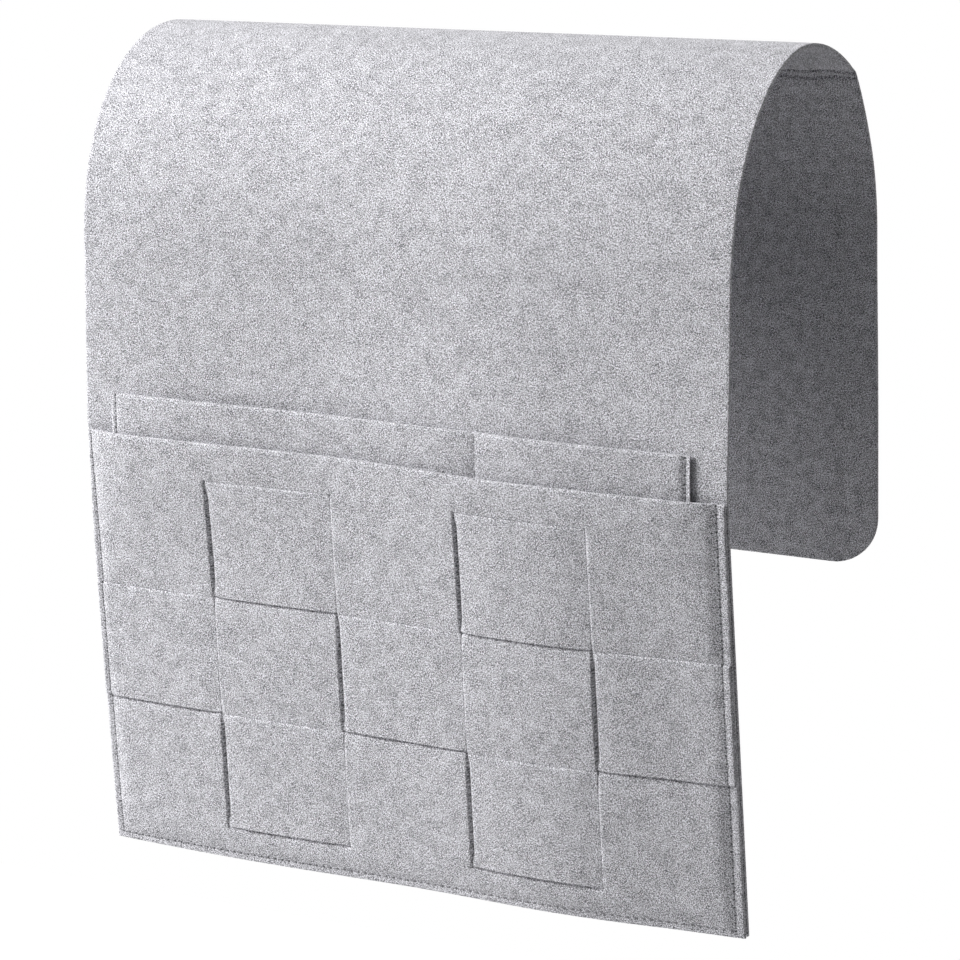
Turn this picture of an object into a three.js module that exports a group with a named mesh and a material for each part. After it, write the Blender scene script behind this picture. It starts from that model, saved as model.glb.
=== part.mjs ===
// Bedside caddy: one felt sheet saddles a bed rail or an armrest and carries sewn pockets on its front drop.
// Millimetres, +Z up, +X to the right of someone who faces the pockets, which look towards -Y.
// The origin is the underside of the arch at its highest point, midway across the sheet.
//
// Every felt piece is laid out on the flat sheet and bent with it: x runs across the sheet, along runs
// down its inner face from the top of the arch (front positive, back negative), and height stands
// outwards from that inner face.
import * as THREE from 'three';

const { degToRad, lerp, smoothstep } = THREE.MathUtils;

// Felt and thread
const feltThickness = 2.5;
const layerGap = 0.3;
const threadDiameter = 0.6;
const threadSides = 6;

// Main sheet: arch, front drop and back flap
const sheetWidth = 350;
const archSpan = 152;
const archRise = 101;
const upperFrontRun = 81;
const frontBendRadius = 250;
const frontLean = degToRad(7.2);
const lowerFrontRun = 196.6;
const backRun = 163;
const backLean = degToRad(2.3);
const flapCornerRadius = 24;

// Fold line of the back flap, and how far it closes on a narrow rail
const foldAlong = 60;
const foldClosing = degToRad(20);

// Slack of the front drop: it dips behind the pocket mouths and swells at the hem
const mouthDip = 9;
const hemSwell = 8;
const dipStartAlong = 80;
const dipLead = 5;
const dipDepth = 60;
const dipEdge = 55;

// Front pocket: a panel slit into columns, with strips woven through it
const columnCount = 5;
const rowCount = 3;
const rowHeight = 60;
const topBand = 18;
const bottomBand = 15.5;
const slitGap = 2;
const weaveRoll = 9;
const stripTuck = 16;

// Inner pocket panel, sewn behind the front pocket and split into two compartments
const innerInset = 16;
const innerReveal = 19;
const innerHemLift = 16;
const dividerX = 44;

// Seams, and the room that the pockets stand open
const sideSeam = 3.2;
const hemSeam = 3.4;
const innerSeam = 2.4;
const seamRise = 14;
const innerRoom = 5.5;
const innerRise = 45;
const frontRoomOpen = 6.1;
const frontRoomRest = 2.4;
const openDepth = 40;
const frontCloseDepth = 110;
const innerCloseDepth = 150;

// Steps of the curved stretches
const archStep = 14;
const bendStep = 11;
const runStep = 27;
const dropStep = 20;
const acrossStep = 16;
const cornerSteps = 6;

const halfWidth = sheetWidth / 2;
const layerPitch = feltThickness + layerGap;
const weaveLift = layerPitch / 2;
const pocketSeamX = halfWidth - sideSeam;
const innerEdgeX = halfWidth - innerInset;
const innerSeamX = innerEdgeX - innerSeam;
const threadStand = layerGap + threadDiameter / 2;

function straightRun(start, lean, length) {
  const end = new THREE.Vector2(Math.sin(lean), -Math.cos(lean)).multiplyScalar(length).add(start);
  return new THREE.LineCurve(start, end);
}

function joinCurves(curves) {
  const path = new THREE.CurvePath();
  curves.forEach((curve) => path.add(curve));
  return path;
}

// Side view of the sheet's inner face as (y, z), from the top of the arch down the front drop
function frontProfile() {
  const arch = new THREE.EllipseCurve(0, -archRise, archSpan / 2, archRise, Math.PI / 2, Math.PI);
  const upperRun = straightRun(arch.getPoint(1), 0, upperFrontRun);
  const bendStart = upperRun.getPoint(1);
  const bend = new THREE.EllipseCurve(
    bendStart.x + frontBendRadius, bendStart.y, frontBendRadius, frontBendRadius, Math.PI, Math.PI + frontLean,
  );
  return joinCurves([arch, upperRun, bend, straightRun(bend.getPoint(1), frontLean, lowerFrontRun)]);
}

// The same from the top of the arch down the back flap
function backProfile() {
  const archEnd = Math.atan((archRise * Math.tan(backLean)) / (archSpan / 2));
  const arch = new THREE.EllipseCurve(0, -archRise, archSpan / 2, archRise, Math.PI / 2, archEnd, true);
  return joinCurves([arch, straightRun(arch.getPoint(1), backLean, backRun)]);
}

const frontPath = frontProfile();
const backPath = backProfile();
const [frontArchEnd, bendStartAlong, bendEndAlong, hemAlong] = frontPath.getCurveLengths();
const [backArchEnd, flapLength] = backPath.getCurveLengths();

const pocketHeight = topBand + rowCount * rowHeight + bottomBand;
const mouthAlong = hemAlong - pocketHeight;
const hemSeamAlong = hemAlong - hemSeam;
const weaveTop = mouthAlong + topBand;
const weaveBottom = weaveTop + rowCount * rowHeight;
const innerMouthAlong = mouthAlong - innerReveal;
const innerHemAlong = hemAlong - innerHemLift;
const innerSeamAlong = innerHemAlong - innerSeam;

const columnWidth = sheetWidth / columnCount;
const slits = Array.from({ length: columnCount - 1 }, (_, i) => (i + 1) * columnWidth - halfWidth);
const rowLines = Array.from({ length: rowCount + 1 }, (_, i) => weaveTop + i * rowHeight);

// Point in space for a place on the sheet
function onSheet(x, along, height) {
  const path = along < 0 ? backPath : frontPath;
  const share = Math.min(Math.abs(along) / path.getLength(), 1);
  const point = path.getPoint(share);
  const tangent = path.getTangent(share);
  const outward = new THREE.Vector2(tangent.y, -tangent.x).multiplyScalar(along < 0 ? -1 : 1);
  point.addScaledVector(outward, height);
  return new THREE.Vector3(x, point.x, point.y);
}

// How far the slack front drop stands off its side edges
function sheetBow(x, along) {
  const plateau = smoothstep(halfWidth - Math.abs(x), 0, dipEdge);
  const dip = mouthDip * plateau * smoothstep(along, dipStartAlong, innerMouthAlong - dipLead);
  const swell = hemSwell * (1 - (x / halfWidth) ** 2);
  return lerp(-dip, swell, smoothstep(along, mouthAlong + dipDepth, hemAlong));
}

// Height of the inner panel's back face above the main sheet's front face
function innerLift(x, along) {
  const fromSeam = Math.min(Math.abs(x - dividerX), innerSeamX - Math.abs(x));
  const open = 1 - smoothstep(along, mouthAlong + openDepth, mouthAlong + innerCloseDepth);
  return layerGap + innerRoom * open * smoothstep(fromSeam, 0, innerRise);
}

// 0 on the pocket's side and hem seams, 1 where its front stands free of them
function freeOfSeams(x, along) {
  const fromSide = smoothstep(pocketSeamX - Math.abs(x), 0, seamRise);
  const fromHem = smoothstep(hemSeamAlong - along, 0, hemSeamAlong - weaveBottom);
  return fromSide * fromHem;
}

// Middle of the woven front, between its columns and its strips
function weaveHeight(x, along) {
  const closed = smoothstep(along, mouthAlong + openDepth, mouthAlong + frontCloseDepth);
  const room = lerp(frontRoomOpen, frontRoomRest, closed);
  const open = innerLift(x, along) + feltThickness + room + weaveLift + feltThickness / 2;
  const sewn = layerGap + feltThickness + layerGap / 2;
  return feltThickness + sheetBow(x, along) + lerp(sewn, open, freeOfSeams(x, along));
}

// 1 on a line, falling to 0 one roll away from it
function nearness(value, lines) {
  return Math.max(...lines.map((line) => Math.max(0, 1 - Math.abs(value - line) / weaveRoll) ** 2));
}

// 1 where the column shows over the strip, -1 where it runs under, 0 in the plain bands
function columnSide(x, along) {
  if (along < weaveTop || along >= weaveBottom) {
    return 0;
  }
  const column = Math.min(columnCount - 1, Math.floor((x + halfWidth) / columnWidth));
  const row = Math.floor((along - weaveTop) / rowHeight);
  return (column + row) % 2 === 0 ? 1 : -1;
}

function columnHeight(x, along) {
  const crossing = columnSide(x, along) * (1 - nearness(along, rowLines)) * (1 + nearness(x, slits));
  return weaveHeight(x, along) + weaveLift * lerp(-1, crossing, freeOfSeams(x, along));
}

function stripHeight(x, along) {
  const side = columnSide(x, along);
  const crossing = -side * (1 - nearness(x, slits)) * (1 + nearness(along, rowLines));
  return weaveHeight(x, along) + weaveLift * lerp(-side, crossing, freeOfSeams(x, along));
}

// The felt is nipped where a strip dives through a slit at a column's corner
function weaveThickness(x, along) {
  const edge = nearness(weaveTop + slitGap / 2, [weaveTop]);
  const nip = nearness(x, slits) * Math.min(nearness(along, rowLines), edge);
  return Math.min(feltThickness, layerPitch * (1 - nip) - layerGap);
}

// Closed felt slab over a grid of places; facePoint gives the inner or outer face, keepCell leaves cells out
function feltSlab(xs, alongs, facePoint, keepCell = () => true) {
  const width = xs.length;
  const faceSize = width * alongs.length;
  const positions = [];
  for (const outer of [false, true]) {
    for (const along of alongs) {
      xs.forEach((x) => positions.push(...facePoint(x, along, outer)));
    }
  }
  const middle = (list, i) => (list[i] + list[i + 1]) / 2;
  const kept = (i, j) => i >= 0 && j >= 0 && i < width - 1 && j < alongs.length - 1
    && keepCell(middle(xs, i), middle(alongs, j));
  const indices = [];
  const addQuad = (a, b, c, d) => indices.push(a, b, c, a, c, d);
  for (let j = 0; j < alongs.length - 1; j += 1) {
    for (let i = 0; i < width - 1; i += 1) {
      if (kept(i, j)) {
        const corners = [j * width + i, (j + 1) * width + i, (j + 1) * width + i + 1, j * width + i + 1];
        const neighbours = [[i - 1, j], [i, j + 1], [i + 1, j], [i, j - 1]];
        addQuad(...corners.map((corner) => corner + faceSize));
        addQuad(corners[0], corners[3], corners[2], corners[1]);
        neighbours.forEach((cell, k) => {
          if (!kept(...cell)) {
            const from = corners[k];
            const to = corners[(k + 1) % corners.length];
            addQuad(to + faceSize, from + faceSize, from, to);
          }
        });
      }
    }
  }
  return meshGeometry(positions, indices);
}

function meshGeometry(positions, indices) {
  const geometry = new THREE.BufferGeometry();
  geometry.setAttribute('position', new THREE.Float32BufferAttribute(positions, 3));
  geometry.setIndex(indices);
  const loose = geometry.toNonIndexed();
  loose.computeVertexNormals();
  return loose;
}

// Evenly spaced values from start to end, no further apart than step, with both ends
function spread(start, end, step) {
  const count = Math.max(1, Math.ceil(Math.abs(end - start) / step));
  return Array.from({ length: count + 1 }, (_, i) => lerp(start, end, i / count));
}

// Sorted values without near repeats, for grid lines that come from several features
function gridLines(values) {
  const leastStep = layerGap / 2;
  const sorted = [...values].sort((a, b) => a - b);
  return sorted.filter((value, i) => i === 0 || value - sorted[i - 1] > leastStep);
}

function mirrored(values) {
  return [...values, ...values.map((value) => -value)];
}

function bentSlab(xs, alongs, heightOf, thicknessOf, keepCell) {
  const facePoint = (x, along, outer) => {
    const half = thicknessOf(x, along) / 2;
    return onSheet(x, along, heightOf(x, along) + (outer ? half : -half));
  };
  return feltSlab(xs, alongs, facePoint, keepCell);
}

const plainThickness = () => feltThickness;

// Grid lines that the main sheet and the inner panel share, so that their faces stay parallel
const innerXs = gridLines([
  ...mirrored([innerEdgeX]),
  ...spread(-innerSeamX, dividerX, acrossStep),
  ...spread(dividerX, innerSeamX, acrossStep),
]);
const dropAlongs = [
  ...spread(bendStartAlong, bendEndAlong, bendStep),
  ...spread(bendEndAlong, innerSeamAlong, dropStep),
  innerHemAlong,
];

function mainSheet() {
  const xs = gridLines([...innerXs, ...mirrored([halfWidth, pocketSeamX])]);
  const alongs = gridLines([
    ...spread(-foldAlong + layerGap / 2, 0, archStep),
    ...spread(0, frontArchEnd, archStep),
    ...spread(frontArchEnd, bendStartAlong, runStep),
    ...dropAlongs,
    hemSeamAlong,
    hemAlong,
  ]);
  const heightOf = (x, along) => feltThickness / 2 + sheetBow(x, along);
  return bentSlab(xs, alongs, heightOf, plainThickness);
}

// Half the flap's width at a place, less where its lower corners are rounded
function flapHalfWidth(along) {
  const intoCorner = Math.max(0, flapCornerRadius - (along + flapLength));
  return halfWidth - flapCornerRadius + Math.sqrt(flapCornerRadius ** 2 - intoCorner ** 2);
}

// The flap starts at the fold line, with its inner edge relieved so that it can close
function backFlap() {
  const topAlong = -foldAlong - layerGap / 2;
  const relief = feltThickness * Math.tan(foldClosing);
  const turns = spread(0, Math.PI / 2, Math.PI / 2 / cornerSteps);
  const cornerRows = turns.map((turn) => flapCornerRadius * (1 - Math.cos(turn)) - flapLength);
  const alongs = gridLines([...cornerRows, ...spread(-backArchEnd, topAlong, archStep)]);
  const facePoint = (x, along, outer) => {
    const eased = along === topAlong && !outer ? along - relief : along;
    return onSheet(x * flapHalfWidth(along), eased, outer ? feltThickness : 0);
  };
  return feltSlab([-1, 1], alongs, facePoint);
}

function innerPocketPanel() {
  const alongs = gridLines([innerMouthAlong, ...dropAlongs]);
  const heightOf = (x, along) => {
    const lift = Math.abs(x) > innerSeamX ? layerGap : innerLift(x, along);
    return feltThickness * 1.5 + sheetBow(x, along) + lift;
  };
  return bentSlab(innerXs, alongs, heightOf, plainThickness);
}

// Grid lines beside a slit or a row line: its two cut edges and the roll up to the flat felt
function rollLines(line) {
  const offsets = [slitGap / 2, weaveRoll / 2, weaveRoll];
  return mirrored(offsets).map((offset) => line + offset);
}

const weaveXs = gridLines([
  ...mirrored([halfWidth, pocketSeamX, pocketSeamX - seamRise / 2, pocketSeamX - seamRise]),
  ...mirrored([pocketSeamX - stripTuck]),
  ...slits.flatMap(rollLines),
  ...spread(-halfWidth, halfWidth, columnWidth / 2).slice(1, -1).filter((x) => !slits.includes(x)),
]);

function frontPocketPanel() {
  const alongs = gridLines([
    ...spread(mouthAlong, weaveTop, topBand / 2),
    ...rowLines.flatMap(rollLines).filter((along) => along > weaveTop && along < weaveBottom),
    ...rowLines.slice(1).map((line) => line - rowHeight / 2),
    weaveBottom,
    ...spread(weaveBottom, hemSeamAlong, bottomBand / 3),
    hemAlong,
  ]);
  const inSlit = (x, along) => along > weaveTop && along < weaveBottom
    && slits.some((slit) => Math.abs(x - slit) < slitGap / 2);
  return bentSlab(weaveXs, alongs, columnHeight, weaveThickness, (x, along) => !inSlit(x, along));
}

// A strip whose ends lie over the outer columns is sewn into the side seams; the others tuck in behind
function wovenStrip(row) {
  const top = rowLines[row] + slitGap / 2;
  const bottom = rowLines[row + 1] - slitGap / 2;
  const sewnIn = columnSide(pocketSeamX, top) < 0;
  const reach = sewnIn ? halfWidth : pocketSeamX - stripTuck;
  const xs = weaveXs.filter((x) => Math.abs(x) <= reach);
  const rolls = [...rollLines(rowLines[row]), ...rollLines(rowLines[row + 1])];
  const alongs = gridLines([top, (top + bottom) / 2, bottom, ...rolls.filter((line) => line > top && line < bottom)]);
  return bentSlab(xs, alongs, stripHeight, weaveThickness);
}

// Round thread through a list of [x, along, height] places, mitred where the seam turns a corner
function seamThread(places) {
  const radius = threadDiameter / 2;
  const centres = places.map((place) => onSheet(...place));
  const last = centres.length - 1;
  const positions = [];
  centres.forEach((centre, k) => {
    const [x, along, height] = places[k];
    const up = onSheet(x, along, height + 1).sub(centre);
    const leave = centres[Math.min(k + 1, last)].clone().sub(centres[Math.min(k, last - 1)]).normalize();
    const arrive = centres[Math.max(k, 1)].clone().sub(centres[Math.max(k - 1, 0)]).normalize();
    const tangent = leave.clone().add(arrive).normalize();
    const sideways = tangent.clone().cross(up).normalize().multiplyScalar(1 / tangent.dot(leave));
    for (let side = 0; side < threadSides; side += 1) {
      const turn = (2 * Math.PI * side) / threadSides;
      const offset = sideways.clone().multiplyScalar(radius * Math.cos(turn));
      offset.addScaledVector(up, radius * Math.sin(turn));
      positions.push(...centre.clone().add(offset));
    }
  });
  const indices = [];
  for (let k = 0; k < last; k += 1) {
    for (let side = 0; side < threadSides; side += 1) {
      const a = k * threadSides + side;
      const b = k * threadSides + ((side + 1) % threadSides);
      indices.push(a, a + threadSides, b + threadSides, a, b + threadSides, b);
    }
  }
  const endRing = last * threadSides;
  for (let side = 1; side < threadSides - 1; side += 1) {
    indices.push(0, side, side + 1, endRing, endRing + side + 1, endRing + side);
  }
  return meshGeometry(positions, indices);
}

// Down one side, across the hem and up the other side
function seamRoute(seamX, seamAlong, sideAlongs, heightOf) {
  const down = sideAlongs.map((along) => [-seamX, along]);
  const across = spread(-seamX, seamX, 2 * acrossStep).slice(1, -1).map((x) => [x, seamAlong]);
  const up = [...down].reverse().map(([x, along]) => [-x, along]);
  return [...down, ...across, ...up].map(([x, along]) => [x, along, heightOf(x, along)]);
}

const sheetBack = (x, along) => sheetBow(x, along) - threadStand;
const innerPanelFront = (x, along) => sheetBow(x, along) + layerPitch + feltThickness + threadStand;

// Front of the pocket on its seam line, one layer higher where a strip's end is sewn in
function pocketFront(x, along) {
  const [stripTop, stripBottom] = [rowLines[1], rowLines[2]];
  const stacked = along > stripTop - threadDiameter && along < stripBottom + threadDiameter;
  return innerPanelFront(x, along) + (stacked ? layerPitch : 0);
}

const seamEndGap = 1;

function pocketSeamAlongs() {
  const [stripTop, stripBottom] = [rowLines[1], rowLines[2]];
  return gridLines([
    ...spread(mouthAlong + seamEndGap, bendEndAlong, bendStep),
    ...spread(bendEndAlong, stripTop - layerPitch, dropStep),
    ...spread(stripTop, stripBottom, dropStep),
    ...spread(stripBottom + layerPitch, hemSeamAlong, dropStep),
  ]);
}

function innerSeamAlongs() {
  return gridLines([innerMouthAlong + seamEndGap, ...dropAlongs.slice(0, -1)]);
}

function dividerRoute(heightOf) {
  return innerSeamAlongs().slice(0, -1).map((along) => [dividerX, along, heightOf(dividerX, along)]);
}

const felt = new THREE.MeshStandardMaterial({ color: 0xbfc0c4, roughness: 0.95, metalness: 0 });
const thread = new THREE.MeshStandardMaterial({ color: 0xa9aaae, roughness: 0.8, metalness: 0 });

const caddy = new THREE.Group();

function addPiece(name, geometry, material) {
  const mesh = new THREE.Mesh(geometry, material);
  mesh.name = name;
  caddy.add(mesh);
}

addPiece('main_sheet', mainSheet(), felt);
addPiece('back_flap', backFlap(), felt);
addPiece('inner_pocket_panel', innerPocketPanel(), felt);
addPiece('front_pocket_panel', frontPocketPanel(), felt);
['upper', 'middle', 'lower'].forEach((name, row) => addPiece(`${name}_woven_strip`, wovenStrip(row), felt));

const pocketSeam = (heightOf) => seamThread(seamRoute(pocketSeamX, hemSeamAlong, pocketSeamAlongs(), heightOf));
addPiece('pocket_seam_needle_thread', pocketSeam(pocketFront), thread);
addPiece('pocket_seam_bobbin_thread', pocketSeam(sheetBack), thread);

const innerSeamLine = (heightOf) => seamThread(seamRoute(innerSeamX, innerSeamAlong, innerSeamAlongs(), heightOf));
addPiece('inner_seam_needle_thread', innerSeamLine(innerPanelFront), thread);
addPiece('inner_seam_bobbin_thread', innerSeamLine(sheetBack), thread);

addPiece('divider_needle_thread', seamThread(dividerRoute(innerPanelFront)), thread);
addPiece('divider_bobbin_thread', seamThread(dividerRoute(sheetBack)), thread);

export default caddy;
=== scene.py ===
"""Felt bedside caddy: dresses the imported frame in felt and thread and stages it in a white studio."""

import logging
import math
from dataclasses import dataclass, field
from enum import Enum
from typing import Callable, Sequence

import bmesh
import bpy
import numpy as np
from mathutils import Euler, Matrix, Vector
from mathutils.kdtree import KDTree


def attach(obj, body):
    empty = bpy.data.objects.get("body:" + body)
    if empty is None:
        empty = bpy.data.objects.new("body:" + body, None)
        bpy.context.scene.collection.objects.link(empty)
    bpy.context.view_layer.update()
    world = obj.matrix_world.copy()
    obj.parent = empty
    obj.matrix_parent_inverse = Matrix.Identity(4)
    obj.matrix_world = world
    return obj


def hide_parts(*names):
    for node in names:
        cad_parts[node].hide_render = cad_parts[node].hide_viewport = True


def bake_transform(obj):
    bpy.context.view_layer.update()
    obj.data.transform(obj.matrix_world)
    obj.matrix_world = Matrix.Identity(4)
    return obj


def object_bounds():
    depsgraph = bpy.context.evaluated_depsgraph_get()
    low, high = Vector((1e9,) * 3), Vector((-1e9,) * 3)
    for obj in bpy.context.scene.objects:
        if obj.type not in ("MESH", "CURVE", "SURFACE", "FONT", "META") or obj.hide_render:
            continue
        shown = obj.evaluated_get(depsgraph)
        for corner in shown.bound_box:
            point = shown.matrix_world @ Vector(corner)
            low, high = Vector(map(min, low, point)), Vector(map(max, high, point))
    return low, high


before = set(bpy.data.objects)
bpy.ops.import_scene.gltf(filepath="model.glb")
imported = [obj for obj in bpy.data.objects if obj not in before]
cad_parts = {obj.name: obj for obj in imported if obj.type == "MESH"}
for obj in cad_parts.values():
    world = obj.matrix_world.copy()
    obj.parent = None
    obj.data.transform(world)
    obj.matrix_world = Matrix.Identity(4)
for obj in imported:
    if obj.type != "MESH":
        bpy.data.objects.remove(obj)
CAD_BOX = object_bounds()

LOG = logging.getLogger("caddy")
MM = 0.001
FELT = 2.5 * MM
STITCH_PITCH = 4 * MM
SADDLE_BODY = "saddle"
PLACE_ATTRIBUTE = "felt_place"
RIM_LINES = (0.0, 0.6 * MM, 1.2 * MM, 1.9 * MM, 2.8 * MM, 4.0 * MM)
SEAM_LINES = (0.0, 0.8 * MM, 1.8 * MM)
MIX_A, MIX_B, MIX_RESULT = 6, 7, 2

Array = np.ndarray
Height = Callable[[Array, Array], Array]
Press = Callable[[Array, Array, Array], Array]
Colour = tuple[float, float, float, float]
Socket = bpy.types.NodeSocket
Feeds = dict[str | int, object]


class Slot(Enum):
    """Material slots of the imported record."""

    FELT = "felt"
    THREAD = "thread"


class Face(Enum):
    """The two faces of a felt piece."""

    INNER = "inner"
    OUTER = "outer"


def smoothstep(value: Array, low: float, high: float) -> Array:
    """Rise smoothly from 0 at low to 1 at high."""
    share = np.clip((value - low) / (high - low), 0.0, 1.0)
    return share * share * (3.0 - 2.0 * share)


def mix(a: Array, b: Array, share: Array) -> Array:
    """Blend from a to b."""
    return a + (b - a) * share


def hump(distance: Array, width: float) -> Array:
    """Bell of height 1 over a line, given the distance from it."""
    return np.exp(-((distance / width) ** 2))


def nearest(value: Array, lines: Sequence[float]) -> Array:
    """Distance of each value from the nearest line."""
    return np.min([np.abs(value - line) for line in lines], axis=0)


def fill(keys: Sequence[float], step: float) -> Array:
    """Lay even lines between key lines.

    Args:
        keys: Lines that have to be there, in any order.
        step: Widest step between two lines.

    Returns:
        All lines, in order.
    """
    ordered = sorted(set(keys))
    tolerance = 1e-6
    runs = [np.linspace(a, b, max(1, math.ceil((b - a) / step - tolerance)) + 1)[:-1]
            for a, b in zip(ordered, ordered[1:])]
    return np.concatenate([*runs, ordered[-1:]])


def beside(line: float, offsets: Sequence[float]) -> list[float]:
    """Lines at the given offsets on both sides of one line."""
    return [line + sign * offset for offset in offsets for sign in (-1.0, 1.0)]


def rims(low: float, high: float) -> list[float]:
    """Close lines inside two opposite edges of a piece."""
    return [end for rim in RIM_LINES for end in (low + rim, high - rim)]


@dataclass
class SheetProfile:
    """Side view of the main sheet: arch, front drop and back flap.

    A place on it is (x, along, height): x across, along the inner face from the top of the arch, positive in
    front and negative behind, and height outwards from the inner face.
    """

    arch_span: float = 152 * MM
    arch_rise: float = 101 * MM
    upper_front_run: float = 81 * MM
    front_bend_radius: float = 250 * MM
    front_lean: float = math.radians(7.2)
    lower_front_run: float = 196.6 * MM
    back_run: float = 163 * MM
    back_lean: float = math.radians(2.3)
    crown_sink: float = 7 * MM
    crown_reach: float = 140 * MM
    hem_lift: float = 1.7 * MM
    hem_lift_x: float = 45 * MM
    hem_lift_width: float = 85 * MM
    hem_lift_reach: float = 90 * MM
    twist: float = 2.7 * MM
    twist_start: float = 260 * MM
    half_width: float = 175 * MM
    samples: int = 600
    front: Array = field(init=False)
    back: Array = field(init=False)

    def __post_init__(self) -> None:
        """Trace both halves of the profile."""
        self.front = self._front_path()
        self.back = self._back_path()

    def _run(self, start: Array, lean: float, length: float) -> Array:
        """Points of a straight run that leans back by an angle."""
        steps = np.linspace(0.0, length, self.samples)[1:, None]
        return start + steps * np.array([math.sin(lean), -math.cos(lean)])

    def _arch(self, end: float) -> Array:
        """Points of the arch from its top to an angle."""
        turn = np.linspace(math.pi / 2, end, self.samples)
        return np.stack([self.arch_span / 2 * np.cos(turn), self.arch_rise * (np.sin(turn) - 1.0)], 1)

    @staticmethod
    def _measured(points: Array) -> Array:
        """Measure a traced path.

        Args:
            points: The path's y and z.

        Returns:
            Columns of length, y, z and the tangent's y and z.
        """
        steps = np.linalg.norm(np.diff(points, axis=0), axis=1)
        length = np.concatenate([[0.0], np.cumsum(steps)])
        tangent = np.gradient(points, length, axis=0)
        tangent /= np.linalg.norm(tangent, axis=1)[:, None]
        return np.column_stack([length, points, tangent])

    def _front_path(self) -> Array:
        """Trace the arch's front half, the upright run, the bend and the leaning run.

        Returns:
            The measured path.
        """
        arch = self._arch(math.pi)
        upright = self._run(arch[-1], 0.0, self.upper_front_run)
        turn = np.linspace(math.pi, math.pi + self.front_lean, self.samples)[1:]
        centre = upright[-1] + np.array([self.front_bend_radius, 0.0])
        bend = centre + self.front_bend_radius * np.stack([np.cos(turn), np.sin(turn)], 1)
        lower = self._run(bend[-1], self.front_lean, self.lower_front_run)
        return self._measured(np.concatenate([arch, upright, bend, lower]))

    def _back_path(self) -> Array:
        """Trace the arch's back half and the flap.

        Returns:
            The measured path.
        """
        end = math.atan(self.arch_rise * math.tan(self.back_lean) / (self.arch_span / 2))
        arch = self._arch(end)
        flap = self._run(arch[-1], self.back_lean, self.back_run)
        return self._measured(np.concatenate([arch, flap]))

    @property
    def hem(self) -> float:
        """Length from the top of the arch to the front hem."""
        return float(self.front[-1, 0])

    @property
    def flap_end(self) -> float:
        """Length from the top of the arch to the lower edge of the flap."""
        return float(self.back[-1, 0])

    def place(self, x: Array, along: Array, height: Array) -> Array:
        """Bend flat places on to the sheet.

        Args:
            x: Places across the sheet.
            along: Places along it.
            height: Heights off its inner face.

        Returns:
            Points in space, one row each.
        """
        behind = along < 0
        columns = []
        for column in range(1, 5):
            on_front = np.interp(along, self.front[:, 0], self.front[:, column])
            on_back = np.interp(-along, self.back[:, 0], self.back[:, column])
            columns.append(np.where(behind, on_back, on_front))
        y, z, tangent_y, tangent_z = columns
        side = np.where(behind, -1.0, 1.0)
        crown = smoothstep(self.crown_reach - np.abs(along), 0.0, self.crown_reach)
        z = z - self.crown_sink * crown * (self.half_width - x) / (2 * self.half_width)
        drawn_up = hump(x - self.hem_lift_x, self.hem_lift_width)
        z = z + self.hem_lift * drawn_up * smoothstep(along, self.hem - self.hem_lift_reach, self.hem)
        to_left = np.clip(-x / self.half_width, 0.0, 1.0)
        twisted = self.twist * to_left * smoothstep(along, self.twist_start, self.hem)
        return np.stack([x, y - twisted + side * tangent_z * height, z - side * tangent_y * height], -1)


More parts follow.
